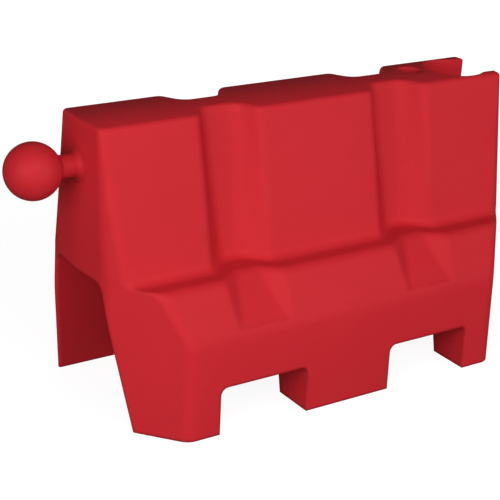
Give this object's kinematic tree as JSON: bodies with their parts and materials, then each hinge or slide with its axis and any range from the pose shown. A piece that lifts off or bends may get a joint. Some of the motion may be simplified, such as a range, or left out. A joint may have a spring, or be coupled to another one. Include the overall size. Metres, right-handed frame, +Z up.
{
  "type": "plastic jersey barrier",
  "caption": "Hollow plastic jersey barrier with flared base, fork pockets and a stacking tunnel, joined end to end by ball and socket, with a screw filler cap and drain plug.",
  "frame": {"origin": "on the floor, under the middle of the moulding without its ball, in the mouth of the stacking tunnel", "axes": "+X along the barrier from the ball end to the socket end, +Y from the front in the picture to the back, +Z up"},
  "size_m": [1.1538, 0.5, 0.6],
  "materials": {
    "shell_plastic": "satin red polyethylene with a fine moulding grain",
    "ball_plastic": "satin red polyethylene, a little smoother than the shell",
    "insert_brass": "turned brass, not seen from outside",
    "fitting_plastic": "satin red moulded plastic",
    "gasket_rubber": "matt black rubber"
  },
  "bodies": {
    "barrier": {"barrier_shell": "shell_plastic", "coupling_ball": "ball_plastic", "ball_insert": "insert_brass", "filler_bush": "fitting_plastic", "drain_bush": "fitting_plastic"},
    "filler_ring": {"filler_gasket": "gasket_rubber"},
    "filler_screw": {"filler_cap": "fitting_plastic"},
    "drain_ring": {"drain_gasket": "gasket_rubber"},
    "drain_screw": {"drain_plug": "fitting_plastic"}
  },
  "joints": [
    {"name": "filler_lift", "type": "slide", "parent": "barrier", "child": "filler_ring", "axis": [0, 0, 1], "range_m": [0, 0.024]},
    {"name": "filler_turn", "type": "hinge", "parent": "filler_ring", "child": "filler_screw", "pos_m": [0.318, 0.022, 0.576], "axis": [0, 0, 1], "range_deg": [0, 1440]},
    {"name": "drain_lift", "type": "slide", "parent": "barrier", "child": "drain_ring", "axis": [0, 1, 0], "range_m": [0, 0.018]},
    {"name": "drain_turn", "type": "hinge", "parent": "drain_ring", "child": "drain_screw", "pos_m": [0, 0.23718, 0.052], "axis": [0, 1, 0], "range_deg": [0, 2160]}
  ],
  "couplings": [
    {"joint": "filler_lift", "follows": "filler_turn", "m_per_rad": 0.00095492},
    {"joint": "drain_lift", "follows": "drain_turn", "m_per_rad": 0.00047746}
  ]
}
